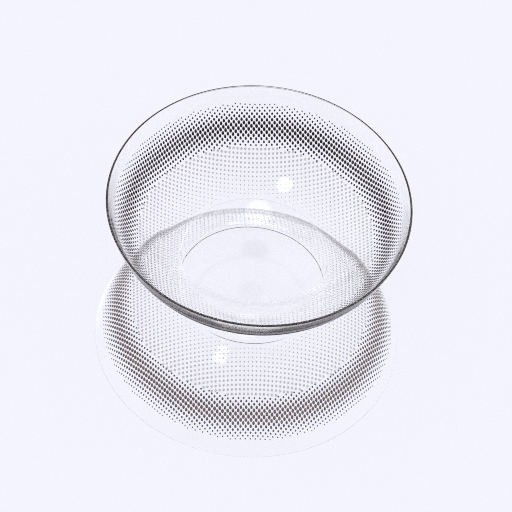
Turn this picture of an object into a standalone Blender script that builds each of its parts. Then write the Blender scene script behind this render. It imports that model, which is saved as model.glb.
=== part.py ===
"""A coloured soft contact lens, lying on its dome with the bowl upwards.

The lens is one moulded shell of clear hydrogel. Its colour is two rings of pigment that
sit on the front surface: a dark limbal ring and a pale iris tint around a clear pupil.
Metres, +Z up. The origin is under the middle of the lens, on the surface that it lies on.
"""

from math import asin, cos, pi, radians, sin, tau

import bpy

MM = 0.001

# Lens blank. The base curve takes up the middle of the back surface. Round it, a band of this
# width in plan curves in more steeply, up to the rim angle, because the soft edge stands up.
LENS_DIAMETER = 14.2 * MM
BASE_CURVE = 8.09 * MM
PERIPHERAL_WIDTH = 1.53 * MM
RIM_ANGLE = radians(73)
CENTRE_THICKNESS = 0.10 * MM
CARRIER_THICKNESS = 0.15 * MM
EDGE_THICKNESS = 0.10 * MM

# Optic zone: a disc that the front surface sets off with a shallow step.
OPTIC_ZONE_DIAMETER = 6.83 * MM
JUNCTION_STEP = 0.02 * MM
JUNCTION_WIDTH = 0.06 * MM

# The wall thickens over this length outside the optic zone, and thins over the other to the rim.
CARRIER_RISE = 1.2 * MM
EDGE_TAPER = 1.5 * MM

# The soft dome lies on a small flat spot.
REST_SPOT_DIAMETER = 1.2 * MM

# Print, with widths measured along the back of the curved wall. Two rings fill the band between
# the clear pupil and the clear margin: the limbal ring has this share, the iris tint the rest.
CLEAR_MARGIN = 0.88 * MM
PUPIL_MARGIN = 0.15 * MM
LIMBAL_RING_SHARE = 0.477
RING_TO_TINT_GAP = 0.03 * MM
PIGMENT_THICKNESS = 0.012 * MM
PIGMENT_SEAT_GAP = 0.005 * MM

# Fineness of the turned shapes.
TURN_STEPS = 96
MERGE_DISTANCE = 0.001 * MM

# The base curve blends into the peripheral curve where both have the same slope.
TIP_RADIUS = EDGE_THICKNESS / 2
BACK_REACH = LENS_DIAMETER / 2 - TIP_RADIUS - TIP_RADIUS * sin(RIM_ANGLE)
BLEND_ANGLE = asin((BACK_REACH - PERIPHERAL_WIDTH) / BASE_CURVE)
PERIPHERAL_CURVE = PERIPHERAL_WIDTH / (sin(RIM_ANGLE) - sin(BLEND_ANGLE))

SPOT_ANGLE = asin(REST_SPOT_DIAMETER / 2 / (BASE_CURVE + CENTRE_THICKNESS))
FLOOR_TO_CENTRE = (BASE_CURVE + CENTRE_THICKNESS) * cos(SPOT_ANGLE)

# Stations along the back surface, measured from the middle of the bowl.
SPOT_STATION = BASE_CURVE * SPOT_ANGLE
OPTIC_STATION = BASE_CURVE * asin(OPTIC_ZONE_DIAMETER / 2 / (BASE_CURVE + CENTRE_THICKNESS))
STEP_STATION = OPTIC_STATION + JUNCTION_WIDTH
BLEND_STATION = BASE_CURVE * BLEND_ANGLE
RIM_STATION = BLEND_STATION + PERIPHERAL_CURVE * (RIM_ANGLE - BLEND_ANGLE)
TINT_INNER_STATION = STEP_STATION + PUPIL_MARGIN
RING_OUTER_STATION = RIM_STATION - CLEAR_MARGIN
LIMBAL_RING_WIDTH = LIMBAL_RING_SHARE * (RING_OUTER_STATION - TINT_INNER_STATION)
RING_INNER_STATION = RING_OUTER_STATION - LIMBAL_RING_WIDTH
TINT_OUTER_STATION = RING_INNER_STATION - RING_TO_TINT_GAP


def ease(share):
    """A smooth rise from 0 to 1, flat at both ends, for a share that may lie outside 0 to 1."""
    share = min(1, max(0, share))
    return share * share * (3 - 2 * share)


def wall_thickness(station):
    """The wall at this station: thin optic zone, step, thicker carrier, thin rim."""
    if station <= OPTIC_STATION:
        return CENTRE_THICKNESS
    step = min(1, (station - OPTIC_STATION) / JUNCTION_WIDTH)
    stepped = CENTRE_THICKNESS + JUNCTION_STEP * step
    rise = ease((station - STEP_STATION) / CARRIER_RISE)
    fall = ease(1 - (RIM_STATION - station) / EDGE_TAPER)
    carrier = stepped + (CARRIER_THICKNESS - stepped) * rise
    return carrier + (EDGE_THICKNESS - carrier) * fall


def on_meridian(station, outside):
    """The point at this station, so far outside the back surface."""
    if station <= BLEND_STATION:
        angle = station / BASE_CURVE
        reach = BASE_CURVE + outside
        return (reach * sin(angle), 0, FLOOR_TO_CENTRE - reach * cos(angle))
    angle = BLEND_ANGLE + (station - BLEND_STATION) / PERIPHERAL_CURVE
    reach = PERIPHERAL_CURVE + outside
    to_centre = BASE_CURVE - PERIPHERAL_CURVE
    x = to_centre * sin(BLEND_ANGLE) + reach * sin(angle)
    z = FLOOR_TO_CENTRE - to_centre * cos(BLEND_ANGLE) - reach * cos(angle)
    return (x, 0, z)


def spread(first, last, count):
    """Evenly spaced values from first to last, both included."""
    return [first + (last - first) * i / count for i in range(count + 1)]


def lens_profile():
    """From the middle of the bowl up its inside, round the rim and down the outside."""
    back = [on_meridian(station, 0) for station in spread(0, BLEND_STATION, 9)]
    back += [on_meridian(station, 0) for station in spread(BLEND_STATION, RIM_STATION, 6)[1:-1]]
    tip_x, _, tip_z = on_meridian(RIM_STATION, TIP_RADIUS)
    tip = []
    for turn in spread(RIM_ANGLE + pi / 2, RIM_ANGLE - pi / 2, 6):
        tip.append((tip_x + TIP_RADIUS * cos(turn), 0, tip_z + TIP_RADIUS * sin(turn)))
    stations = spread(RIM_STATION, RING_OUTER_STATION, 2)[1:]
    stations += spread(RING_OUTER_STATION, RING_INNER_STATION, 4)[1:]
    stations += spread(RING_INNER_STATION, TINT_INNER_STATION, 4)[1:]
    stations += [STEP_STATION]
    stations += spread(OPTIC_STATION, SPOT_STATION, 4)
    front = [on_meridian(station, wall_thickness(station)) for station in stations]
    return back + tip + front + [(0, 0, 0)]


def pigment_profile(inner_station, outer_station):
    """A closed loop around a film of pigment, seated on the front surface."""
    seat = []
    skin = []
    for station in spread(inner_station, outer_station, 4):
        on_lens = wall_thickness(station) + PIGMENT_SEAT_GAP
        seat.append(on_meridian(station, on_lens))
        skin.append(on_meridian(station, on_lens + PIGMENT_THICKNESS))
    return seat + skin[::-1]


def turned(name, profile, closed, material, owner, collection):
    """A profile turned once round the vertical axis."""
    edges = [(i, i + 1) for i in range(len(profile) - 1)]
    if closed:
        edges.append((len(profile) - 1, 0))
    mesh = bpy.data.meshes.new(name)
    mesh.from_pydata(profile, edges, [])
    mesh.materials.append(material)
    obj = bpy.data.objects.new(name, mesh)
    collection.objects.link(obj)
    obj.parent = owner
    screw = obj.modifiers.new("Turn", "SCREW")
    screw.axis = "Z"
    screw.angle = tau
    screw.steps = TURN_STEPS
    screw.render_steps = TURN_STEPS
    screw.use_smooth_shade = True
    screw.use_merge_vertices = True
    screw.merge_threshold = MERGE_DISTANCE
    return obj


def plain_material(name, color, roughness, transmission):
    """A Principled material, see-through by the given share."""
    material = bpy.data.materials.new(name)
    material.use_nodes = True
    material.diffuse_color = (*color, 1 - 0.7 * transmission)
    shader = material.node_tree.nodes["Principled BSDF"]
    shader.inputs["Base Color"].default_value = (*color, 1)
    shader.inputs["Roughness"].default_value = roughness
    shader.inputs["Metallic"].default_value = 0
    shader.inputs["Transmission Weight"].default_value = transmission
    shader.inputs["IOR"].default_value = 1.42
    return material


for old in list(bpy.data.objects):
    bpy.data.objects.remove(old, do_unlink=True)

lens = bpy.data.collections.new("contact_lens")
bpy.context.scene.collection.children.link(lens)
carrier = bpy.data.objects.new("contact_lens", None)
lens.objects.link(carrier)

hydrogel = plain_material("clear_hydrogel", (0.93, 0.94, 0.98), 0.03, 1)
dark_pigment = plain_material("dark_brown_pigment", (0.035, 0.02, 0.018), 0.5, 0)
pale_pigment = plain_material("pale_grey_green_pigment", (0.62, 0.62, 0.56), 0.5, 0)

turned("lens_body", lens_profile(), False, hydrogel, carrier, lens)
ring = pigment_profile(RING_INNER_STATION, RING_OUTER_STATION)
turned("limbal_ring", ring, True, dark_pigment, carrier, lens)
tint = pigment_profile(TINT_INNER_STATION, TINT_OUTER_STATION)
turned("iris_tint", tint, True, pale_pigment, carrier, lens)
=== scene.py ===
from math import asin, cos, pi, radians, sin, tau

import bpy
import numpy as np
from mathutils import Matrix, Vector


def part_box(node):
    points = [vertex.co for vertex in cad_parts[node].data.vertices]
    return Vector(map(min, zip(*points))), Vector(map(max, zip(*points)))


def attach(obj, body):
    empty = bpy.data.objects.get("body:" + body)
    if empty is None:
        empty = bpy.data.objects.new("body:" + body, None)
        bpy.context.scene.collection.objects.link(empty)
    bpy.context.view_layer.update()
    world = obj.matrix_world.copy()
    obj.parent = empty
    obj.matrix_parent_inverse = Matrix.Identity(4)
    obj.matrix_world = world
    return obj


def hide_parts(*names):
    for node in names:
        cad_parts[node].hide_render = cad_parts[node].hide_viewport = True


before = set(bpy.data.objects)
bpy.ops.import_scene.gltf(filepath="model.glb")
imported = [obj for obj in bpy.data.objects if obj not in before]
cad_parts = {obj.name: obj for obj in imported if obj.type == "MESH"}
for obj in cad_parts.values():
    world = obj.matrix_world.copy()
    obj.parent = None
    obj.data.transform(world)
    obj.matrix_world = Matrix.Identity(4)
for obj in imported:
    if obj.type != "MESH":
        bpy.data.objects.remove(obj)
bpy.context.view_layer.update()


# The lens blank is one thin shell of clear hydrogel, cast between two moulds and swollen in
# saline. Its hollow side has a base curve and a steeper edge. Its outer side has a step round
# the optic zone, a slightly thicker carrier beyond it, and a thin rounded rim.
MM = 0.001
BLANK_LOW, BLANK_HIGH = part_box("lens_body")
RIM_RADIUS = (BLANK_HIGH.x - BLANK_LOW.x) / 2
BASE_CURVE = 8.09 * MM
PERIPHERAL_WIDTH = 1.53 * MM
RIM_ANGLE = radians(73)
CENTRE_WALL = 0.10 * MM
CARRIER_WALL = 0.15 * MM
RIM_WALL = 0.10 * MM
RIM_BULGE = 0.044 * MM       # how far the rounded rim stands beyond the end of the wall
OPTIC_RADIUS = 3.415 * MM
STEP_HEIGHT = 0.02 * MM
STEP_WIDTH = 0.03 * MM
CARRIER_RISE = 1.2 * MM
RIM_TAPER = 1.5 * MM
REST_SPOT_RADIUS = 0.6 * MM
WELD = 0.0001 * MM
GEL_INDEX = 1.42
GEL_SOAK_COLOUR = (0.60, 0.58, 0.66)
GEL_SOAK = 30

# Points along the section's hollow side, rim, outer wall and optic zone, and steps round it.
HOLLOW_STEPS = 80
TIP_STEPS = 14
OUTER_STEPS = 64
OPTIC_STEPS = 32
BLANK_TURNS = 240

TIP_RADIUS = RIM_WALL / 2
BACK_REACH = RIM_RADIUS - TIP_RADIUS - TIP_RADIUS * sin(RIM_ANGLE)
BLEND_ANGLE = asin((BACK_REACH - PERIPHERAL_WIDTH) / BASE_CURVE)
PERIPHERAL_CURVE = PERIPHERAL_WIDTH / (sin(RIM_ANGLE) - sin(BLEND_ANGLE))
SPOT_ANGLE = asin(REST_SPOT_RADIUS / (BASE_CURVE + CENTRE_WALL))
CURVE_CENTRE = (BASE_CURVE + CENTRE_WALL) * cos(SPOT_ANGLE)

# Stations are lengths along the hollow side, from its middle.
SPOT_STATION = BASE_CURVE * SPOT_ANGLE
OPTIC_STATION = BASE_CURVE * asin(OPTIC_RADIUS / (BASE_CURVE + CENTRE_WALL))
STEP_STATION = OPTIC_STATION + STEP_WIDTH
BLEND_STATION = BASE_CURVE * BLEND_ANGLE
RIM_STATION = BLEND_STATION + PERIPHERAL_CURVE * (RIM_ANGLE - BLEND_ANGLE)


def eased(share):
    share = min(1, max(0, share))
    return share * share * (3 - 2 * share)


def wall_at(station):
    """Wall thickness at this station."""
    if station <= OPTIC_STATION:
        return CENTRE_WALL
    step = min(1, (station - OPTIC_STATION) / STEP_WIDTH)
    stepped = CENTRE_WALL + STEP_HEIGHT * step
    rise = eased((station - STEP_STATION) / CARRIER_RISE)
    fall = eased(1 - (RIM_STATION - station) / RIM_TAPER)
    carrier = stepped + (CARRIER_WALL - stepped) * rise
    return carrier + (RIM_WALL - carrier) * fall


def wall_point(station, outside):
    """A point on the lens's section, so far outside the hollow side."""
    if station <= BLEND_STATION:
        angle = station / BASE_CURVE
        reach = BASE_CURVE + outside
        return Vector((reach * sin(angle), 0, CURVE_CENTRE - reach * cos(angle)))
    angle = BLEND_ANGLE + (station - BLEND_STATION) / PERIPHERAL_CURVE
    reach = PERIPHERAL_CURVE + outside
    inwards = BASE_CURVE - PERIPHERAL_CURVE
    across = inwards * sin(BLEND_ANGLE) + reach * sin(angle)
    height = CURVE_CENTRE - inwards * cos(BLEND_ANGLE) - reach * cos(angle)
    return Vector((across, 0, height))


def draw_section(name, points):
    """One vertex extruded from point to point, as a section is drawn by hand. Leaves edit mode on."""
    bpy.ops.object.select_all(action="DESELECT")
    bpy.ops.mesh.primitive_plane_add(size=MM, location=(0, 0, 0))
    section = bpy.context.active_object
    section.name = name
    section.data.name = name
    bpy.ops.object.mode_set(mode="EDIT")
    bpy.ops.mesh.select_all(action="SELECT")
    bpy.ops.mesh.merge(type="CENTER")
    bpy.ops.transform.translate(value=points[0])
    for here, there in zip(points, points[1:]):
        bpy.ops.mesh.extrude_region_move(TRANSFORM_OT_translate={"value": there - here})
    return section


blank_section = [wall_point(RIM_STATION * i / HOLLOW_STEPS, 0) for i in range(HOLLOW_STEPS)]
tip_centre = wall_point(RIM_STATION, TIP_RADIUS)
along_wall = Vector((cos(RIM_ANGLE), 0, sin(RIM_ANGLE)))
out_of_wall = Vector((sin(RIM_ANGLE), 0, -cos(RIM_ANGLE)))
for i in range(TIP_STEPS + 1):
    round_tip = pi - pi * i / TIP_STEPS
    bulge = out_of_wall * TIP_RADIUS * cos(round_tip) + along_wall * RIM_BULGE * sin(round_tip)
    blank_section.append(tip_centre + bulge)
for i in range(1, OUTER_STEPS + 1):
    station = RIM_STATION + (STEP_STATION - RIM_STATION) * i / OUTER_STEPS
    blank_section.append(wall_point(station, wall_at(station)))
for i in range(OPTIC_STEPS + 1):
    station = OPTIC_STATION + (SPOT_STATION - OPTIC_STATION) * i / OPTIC_STEPS
    blank_section.append(wall_point(station, CENTRE_WALL))
blank_section.append(Vector((0, 0, 0)))

lens_blank = draw_section("lens_blank", blank_section)
bpy.ops.mesh.select_all(action="SELECT")
bpy.ops.mesh.spin(steps=BLANK_TURNS, angle=tau, center=(0, 0, 0), axis=(0, 0, 1))
bpy.ops.mesh.select_all(action="SELECT")
bpy.ops.mesh.remove_doubles(threshold=WELD)
bpy.ops.mesh.normals_make_consistent(inside=False)
bpy.ops.object.mode_set(mode="OBJECT")
bpy.ops.object.transform_apply(location=True, rotation=True, scale=True)
bpy.ops.object.shade_smooth_by_angle(angle=radians(20))

hydrogel = bpy.data.materials.new("clear_hydrogel")
hydrogel.use_nodes = True
nodes, links = hydrogel.node_tree.nodes, hydrogel.node_tree.links
gel = nodes["Principled BSDF"]
gel.inputs["Base Color"].default_value = (1, 1, 1, 1)
gel.inputs["Roughness"].default_value = 0.0
gel.inputs["IOR"].default_value = GEL_INDEX
gel.inputs["Transmission Weight"].default_value = 1
soak = nodes.new("ShaderNodeVolumeAbsorption")
soak.inputs["Color"].default_value = (*GEL_SOAK_COLOUR, 1)
soak.inputs["Density"].default_value = GEL_SOAK
links.new(soak.outputs["Volume"], nodes["Material Output"].inputs["Volume"])
lens_blank.data.materials.append(hydrogel)

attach(lens_blank, "root")
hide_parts("lens_body")


# The limbal ring is near-black ink, pad-printed just under the front surface as a square screen
# of dots turned by 45 degrees. The dots are largest in the middle of the ring and fade out at
# both of its edges, where the ink thins to purple.
INK_THICKNESS = 0.004 * MM
RING_DEPTH = 0.009 * MM
SCREEN_TURN = radians(5.8)
PAD_STRETCH = 0.00121 / MM**2
RING_PITCH = 0.1813 * MM
RING_OUTER = RIM_STATION - 0.88 * MM
RING_INNER = RING_OUTER - 2.07 * MM
RING_TURN = pi / 4 + SCREEN_TURN
RING_PEAK = 0.47
RING_SIZES = (0.44, 0.79, 0.33)
RING_SHRINK = 1.4
DOT_SIDES = 10
INK_ROUGHNESS = 0.6
INK_SPECULAR = 0.1
NEAR_BLACK = (0.006, 0.003, 0.003)
THIN_PURPLE = (0.08, 0.05, 0.07)
FULL_INK = (0.3, 0.75)        # the part of the ring's width that has the middle colour


def ring_dot_size(station):
    """Dot diameter as a share of the pitch, across the ring from its inner to its outer edge."""
    first, largest, last = RING_SIZES
    share = (station - RING_INNER) / (RING_OUTER - RING_INNER)
    rise = np.sin(np.clip(share / RING_PEAK, 0, 1) * pi / 2)
    fall = np.clip((share - RING_PEAK) / (1 - RING_PEAK), 0, 1)
    return first + (largest - first) * rise - (largest - last) * fall**RING_SHRINK


def printed_screen(name, pitch, turn, inner, outer, depth, size_at, shift=(0, 0)):
    """A flat screen of ink dots, cut to a ring and wrapped on the dome as a soft pad does."""
    bpy.ops.object.select_all(action="DESELECT")
    bpy.ops.mesh.primitive_cylinder_add(
        vertices=DOT_SIDES, radius=pitch / 2, depth=INK_THICKNESS, location=(0, 0, 0)
    )
    screen = bpy.context.active_object
    screen.name = name
    screen.data.name = name
    points_per_dot = len(screen.data.vertices)
    reach = int(outer / pitch) + 1
    for axis in range(2):
        row = screen.modifiers.new("row", "ARRAY")
        row.count = 2 * reach + 1
        row.use_relative_offset = False
        row.use_constant_offset = True
        row.constant_offset_displace = (0, 0, 0)
        row.constant_offset_displace[axis] = pitch
        bpy.ops.object.modifier_apply(modifier=row.name)
    count = len(screen.data.vertices)
    flat = np.empty(count * 3)
    screen.data.vertices.foreach_get("co", flat)
    flat = flat.reshape(-1, points_per_dot, 3) - [reach * pitch, reach * pitch, 0]
    middles = flat.mean(axis=1, keepdims=True)
    flat -= middles
    middles = middles[..., :2] @ np.array([[cos(turn), sin(turn)], [-sin(turn), cos(turn)]])
    middles += shift
    from_axis = np.linalg.norm(middles, axis=2, keepdims=True)
    middle_station = from_axis * (1 + PAD_STRETCH * from_axis**2)
    flat[..., :2] = flat[..., :2] * size_at(middle_station) + middles
    radius = np.linalg.norm(flat[..., :2], axis=2, keepdims=True)
    station = radius * (1 + PAD_STRETCH * radius**2)
    outside = np.vectorize(wall_at)(station) - depth - INK_THICKNESS / 2 + flat[..., 2:]
    on_base = np.minimum(station, BLEND_STATION) / BASE_CURVE
    angle = on_base + np.maximum(station - BLEND_STATION, 0) / PERIPHERAL_CURVE
    centre_shift = np.where(station > BLEND_STATION, BASE_CURVE - PERIPHERAL_CURVE, 0)
    reach_out = BASE_CURVE - centre_shift + outside
    across = centre_shift * sin(BLEND_ANGLE) + reach_out * np.sin(angle)
    height = CURVE_CENTRE - centre_shift * cos(BLEND_ANGLE) - reach_out * np.cos(angle)
    around = flat[..., :2] / np.maximum(radius, WELD)
    placed = np.concatenate([around * across, height], axis=2)
    screen.data.vertices.foreach_set("co", placed.ravel())
    kept = (middle_station > inner) & (middle_station < outer)
    dropped = np.repeat(~kept.ravel(), points_per_dot)
    screen.data.polygons.foreach_set("select", np.zeros(len(screen.data.polygons), bool))
    screen.data.edges.foreach_set("select", np.zeros(len(screen.data.edges), bool))
    screen.data.vertices.foreach_set("select", dropped)
    bpy.ops.object.mode_set(mode="EDIT")
    bpy.ops.mesh.delete(type="VERT")
    bpy.ops.object.mode_set(mode="OBJECT")
    return screen


def ring_ink(name, middle_colour, edge_colour):
    """Matt ink, whose colour goes from the middle of the limbal ring to both of its edges."""
    ink = bpy.data.materials.new(name)
    ink.use_nodes = True
    nodes, links = ink.node_tree.nodes, ink.node_tree.links
    shader = nodes["Principled BSDF"]
    shader.inputs["Roughness"].default_value = INK_ROUGHNESS
    shader.inputs["Specular IOR Level"].default_value = INK_SPECULAR
    place = nodes.new("ShaderNodeTexCoord")
    flatten = nodes.new("ShaderNodeVectorMath")
    flatten.operation = "MULTIPLY"
    flatten.inputs[1].default_value = (1, 1, 0)
    links.new(place.outputs["Object"], flatten.inputs[0])
    from_axis = nodes.new("ShaderNodeVectorMath")
    from_axis.operation = "LENGTH"
    links.new(flatten.outputs["Vector"], from_axis.inputs[0])
    across = nodes.new("ShaderNodeMapRange")
    across.inputs["From Min"].default_value = wall_point(RING_INNER, 0).x
    across.inputs["From Max"].default_value = wall_point(RING_OUTER, 0).x
    links.new(from_axis.outputs["Value"], across.inputs["Value"])
    blend = nodes.new("ShaderNodeValToRGB")
    blend.color_ramp.elements[0].color = (*edge_colour, 1)
    blend.color_ramp.elements[1].color = (*edge_colour, 1)
    for position in FULL_INK:
        blend.color_ramp.elements.new(position).color = (*middle_colour, 1)
    links.new(across.outputs["Result"], blend.inputs["Fac"])
    links.new(blend.outputs["Color"], shader.inputs["Base Color"])
    return ink


limbal_dots = printed_screen(
    "limbal_ring_dots", RING_PITCH, RING_TURN, RING_INNER, RING_OUTER, RING_DEPTH, ring_dot_size
)
limbal_dots.data.materials.append(ring_ink("near_black_ink", NEAR_BLACK, THIN_PURPLE))

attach(limbal_dots, "root")
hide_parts("limbal_ring")


# A second, brown screen lies between the near-black one and the front surface. It has the same
# pitch and turn, a little out of register, and lets some light through, so that it shows as
# brown edges on the near-black dots.
BROWN_DEPTH = 0.004 * MM
BROWN_SHIFT = (-0.010 * MM, 0.034 * MM)
BROWN_INNER = RING_INNER + 0.15 * MM
BROWN_OUTER = RING_INNER + 1.60 * MM
BROWN_SIZES = (0.30, 0.82)
BROWN_OPACITY = 0.6
BROWN = (0.36, 0.13, 0.05)
THIN_BROWN = (0.40, 0.22, 0.20)


def brown_dot_size(station):
    """Dot diameter as a share of the pitch, largest in the middle of the brown screen."""
    share = (station - BROWN_INNER) / (BROWN_OUTER - BROWN_INNER)
    middle = np.sin(pi * np.clip(share, 0, 1))
    return BROWN_SIZES[0] + (BROWN_SIZES[1] - BROWN_SIZES[0]) * middle


brown_dots = printed_screen(
    "limbal_ring_brown_dots", RING_PITCH, RING_TURN, BROWN_INNER, BROWN_OUTER, BROWN_DEPTH,
    brown_dot_size, BROWN_SHIFT,
)
brown_ink = ring_ink("brown_ink", BROWN, THIN_BROWN)
brown_ink.node_tree.nodes["Principled BSDF"].inputs["Alpha"].default_value = BROWN_OPACITY
brown_dots.data.materials.append(brown_ink)

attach(brown_dots, "root")
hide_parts("limbal_ring")


# The iris tint is thin pale ink, printed as a square screen in line with the lens. Its colour
# goes from rosy at the left to greenish at the right. That shift is painted light, a colour cast
# from how the light falls, laid into the ink. Its dots shrink towards the clear pupil and stop
# just outside the step of the optic zone.
TINT_DEPTH = 0.008 * MM
TINT_PITCH = 0.1932 * MM
TINT_INNER = STEP_STATION + 0.17 * MM
TINT_OUTER = RING_INNER + 0.02 * MM
TINT_SIZES = (0.26, 0.64)
TINT_OPACITY = 0.40
# Painted light: the rosy and greenish colours, blended across this half width, are a side-to-side
# colour cast from the light, not the pale ink's own colour.
LIGHT_CAST_HALF_WIDTH = 6 * MM
ROSY_LIGHT_CAST_ON_INK = (0.86, 0.72, 0.80)
GREENISH_LIGHT_CAST_ON_INK = (0.86, 0.87, 0.62)


def tint_dot_size(station):
    """Dot diameter as a share of the pitch, from the pupil out to the limbal ring."""
    share = (station - TINT_INNER) / (TINT_OUTER - TINT_INNER)
    return TINT_SIZES[0] + (TINT_SIZES[1] - TINT_SIZES[0]) * np.clip(share, 0, 1)


tint_dots = printed_screen(
    "iris_tint_dots", TINT_PITCH, SCREEN_TURN, TINT_INNER, TINT_OUTER, TINT_DEPTH, tint_dot_size
)
pale_ink = bpy.data.materials.new("pale_grey_ink_and_painted_cast")
pale_ink.use_nodes = True
nodes, links = pale_ink.node_tree.nodes, pale_ink.node_tree.links
ink = nodes["Principled BSDF"]
ink.inputs["Roughness"].default_value = INK_ROUGHNESS
ink.inputs["Specular IOR Level"].default_value = INK_SPECULAR
ink.inputs["Alpha"].default_value = TINT_OPACITY
place = nodes.new("ShaderNodeTexCoord")
sideways = nodes.new("ShaderNodeSeparateXYZ")
links.new(place.outputs["Object"], sideways.inputs["Vector"])
across = nodes.new("ShaderNodeMapRange")
across.inputs["From Min"].default_value = -LIGHT_CAST_HALF_WIDTH
across.inputs["From Max"].default_value = LIGHT_CAST_HALF_WIDTH
links.new(sideways.outputs["X"], across.inputs["Value"])
# Painted light: the ink's colour is blended from rosy at the left to greenish at the right, a colour
# cast from the light.
ink_and_light_cast = nodes.new("ShaderNodeValToRGB")
ink_and_light_cast.color_ramp.elements[0].color = (*ROSY_LIGHT_CAST_ON_INK, 1)
ink_and_light_cast.color_ramp.elements[1].color = (*GREENISH_LIGHT_CAST_ON_INK, 1)
links.new(across.outputs["Result"], ink_and_light_cast.inputs["Fac"])
links.new(ink_and_light_cast.outputs["Color"], ink.inputs["Base Color"])
tint_dots.data.materials.append(pale_ink)

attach(tint_dots, "root")
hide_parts("iris_tint")


# The floor is a plain pale mirror under a thin clear face. The lens lies on the face, and the
# mirror shines a little way below it. The face adds a sheen to what comes from above, and lets
# all that comes from below through.
FLOOR_SIDE = 3.0
SHINE_DEPTH = 0.352 * MM
FACE_DEPTH = 0.004 * MM
MIRROR_COLOUR = (0.97, 0.97, 0.98)
MATT_COLOUR = (0.93, 0.93, 0.97)
MATT_SHARE = 0.08
FACE_INDEX = 1.45


def floor_sheet(name, depth):
    """Lays one flat sheet, and gives its material's nodes and links to fill."""
    bpy.ops.object.select_all(action="DESELECT")
    bpy.ops.mesh.primitive_plane_add(size=FLOOR_SIDE, location=(0, 0, -depth))
    sheet = bpy.context.active_object
    sheet.name = name
    material = bpy.data.materials.new(name)
    material.use_nodes = True
    material.node_tree.nodes.remove(material.node_tree.nodes["Principled BSDF"])
    sheet.data.materials.append(material)
    return material.node_tree.nodes, material.node_tree.links


nodes, links = floor_sheet("floor_mirror", SHINE_DEPTH)
gloss = nodes.new("ShaderNodeBsdfGlossy")
gloss.inputs["Color"].default_value = (*MIRROR_COLOUR, 1)
gloss.inputs["Roughness"].default_value = 0.0
matt = nodes.new("ShaderNodeBsdfDiffuse")
matt.inputs["Color"].default_value = (*MATT_COLOUR, 1)
surface = nodes.new("ShaderNodeMixShader")
surface.inputs["Fac"].default_value = MATT_SHARE
links.new(gloss.outputs["BSDF"], surface.inputs[1])
links.new(matt.outputs["BSDF"], surface.inputs[2])
links.new(surface.outputs["Shader"], nodes["Material Output"].inputs["Surface"])

nodes, links = floor_sheet("floor_face", FACE_DEPTH)
clear = nodes.new("ShaderNodeBsdfTransparent")
sheen = nodes.new("ShaderNodeBsdfGlossy")
sheen.inputs["Roughness"].default_value = 0.0
grazing = nodes.new("ShaderNodeFresnel")
grazing.inputs["IOR"].default_value = FACE_INDEX
side = nodes.new("ShaderNodeNewGeometry")
from_above = nodes.new("ShaderNodeMath")
from_above.operation = "SUBTRACT"
from_above.inputs[0].default_value = 1
links.new(side.outputs["Backfacing"], from_above.inputs[1])
top_sheen = nodes.new("ShaderNodeMath")
top_sheen.operation = "MULTIPLY"
links.new(grazing.outputs["Fac"], top_sheen.inputs[0])
links.new(from_above.outputs["Value"], top_sheen.inputs[1])
surface = nodes.new("ShaderNodeMixShader")
links.new(top_sheen.outputs["Value"], surface.inputs["Fac"])
links.new(clear.outputs["BSDF"], surface.inputs[1])
links.new(sheen.outputs["BSDF"], surface.inputs[2])
links.new(surface.outputs["Shader"], nodes["Material Output"].inputs["Surface"])


# The light is a pale room with one lamp. It is darker in front and in a spot high at the back,
# and brighter in a spot overhead and on the left, which draws the edges of the clear gel. The
# camera looks down into the bowl from the front, and leans.
PALE_ROOM = (0.945, 0.945, 1.03)

# A part of the room is the direction of its middle, the degrees from there to where it starts
# to fade and to where it ends, and its colour.
DARKER_FRONT = ((0, -0.87, 0.50), 30, 65, (0.58, 0.58, 0.62))
DARK_SPOT = ((0, 0.425, 0.905), 4, 9.5, (0.03, 0.03, 0.04))
BRIGHT_SPOT = ((0, -0.035, 1.0), 6.5, 9.5, (2.6, 2.6, 2.7))
BRIGHTER_LEFT = ((-0.375, 0.574, 0.728), 12, 17, (1.15, 1.15, 1.25))
LAMP = ((-0.257, -0.349, 0.900), 4.2, 5.4, (9, 9, 9))

CAMERA_HEIGHT_ANGLE = radians(51.754)
CAMERA_LEAN = radians(5.819)
CAMERA_DISTANCE = 0.42
PHOTO_PIXELS = 512
PIXELS_PER_METRE = 21468
PHOTO_FOOT = (252.57, 271.06)      # where the picture has the point of the mirror under the lens
SENSOR = 36

room = bpy.data.worlds.new("pale_room")
bpy.context.scene.world = room
room.use_nodes = True
nodes, links = room.node_tree.nodes, room.node_tree.links
outlook = nodes.new("ShaderNodeTexCoord")


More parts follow.
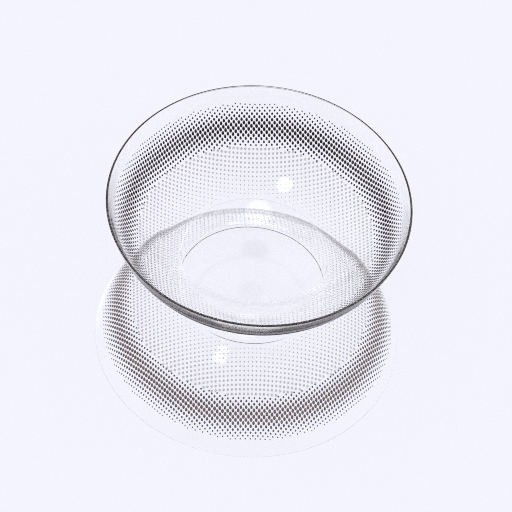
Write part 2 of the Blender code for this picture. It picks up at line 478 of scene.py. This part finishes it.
def room_part(below, direction, inner, outer, colour):
    """Paints one round soft-edged part of the room over the colours below it."""
    facing = nodes.new("ShaderNodeVectorMath")
    facing.operation = "DOT_PRODUCT"
    facing.inputs[1].default_value = Vector(direction).normalized()
    links.new(outlook.outputs["Generated"], facing.inputs[0])
    edge = nodes.new("ShaderNodeMapRange")
    edge.interpolation_type = "SMOOTHSTEP"
    edge.inputs["From Min"].default_value = cos(radians(outer))
    edge.inputs["From Max"].default_value = cos(radians(inner))
    links.new(facing.outputs["Value"], edge.inputs["Value"])
    paint = nodes.new("ShaderNodeMix")
    paint.data_type = "RGBA"
    paint.inputs["B"].default_value = (*colour, 1)
    links.new(edge.outputs["Result"], paint.inputs["Factor"])
    paint_below = paint.inputs["A"]
    if isinstance(below, tuple):
        paint_below.default_value = (*below, 1)
    else:
        links.new(below, paint_below)
    return paint.outputs["Result"]


painted = room_part(PALE_ROOM, *DARKER_FRONT)
for part in (DARK_SPOT, BRIGHT_SPOT, BRIGHTER_LEFT, LAMP):
    painted = room_part(painted, *part)
links.new(painted, nodes["Background"].inputs["Color"])

level_right = Vector((1, 0, 0))
level_up = Vector((0, sin(CAMERA_HEIGHT_ANGLE), cos(CAMERA_HEIGHT_ANGLE)))
towards = Vector((0, -cos(CAMERA_HEIGHT_ANGLE), sin(CAMERA_HEIGHT_ANGLE)))
picture_right = level_right * cos(CAMERA_LEAN) + level_up * sin(CAMERA_LEAN)
picture_up = level_up * cos(CAMERA_LEAN) - level_right * sin(CAMERA_LEAN)
aside = (PHOTO_PIXELS / 2 - PHOTO_FOOT[0]) / PIXELS_PER_METRE
above = (PHOTO_FOOT[1] - PHOTO_PIXELS / 2) / PIXELS_PER_METRE
aim = Vector((0, 0, -SHINE_DEPTH)) + picture_right * aside + picture_up * above

view = bpy.data.cameras.new("camera")
view.sensor_width = SENSOR
view.lens = SENSOR * CAMERA_DISTANCE * PIXELS_PER_METRE / PHOTO_PIXELS
view.clip_start = 0.01
view.clip_end = 10
camera = bpy.data.objects.new("camera", view)
bpy.context.scene.collection.objects.link(camera)
camera.location = aim + towards * CAMERA_DISTANCE
camera_axes = np.array([picture_right, picture_up, towards]).T
camera.rotation_mode = "QUATERNION"
camera.rotation_quaternion = Matrix(camera_axes.tolist()).to_quaternion()
bpy.context.scene.camera = camera

# Light crosses many layers of gel, ink and mirror. The narrow pixel filter and the plain denoising
# of colour keep the dots, which are 3 or 4 pixels apart, from blurring into each other.
cycles = bpy.context.scene.cycles
cycles.max_bounces = 40
cycles.transmission_bounces = 40
cycles.glossy_bounces = 16
cycles.transparent_max_bounces = 32
cycles.filter_width = 1.0
cycles.denoising_prefilter = "NONE"
bpy.context.scene.view_settings.view_transform = "Standard"
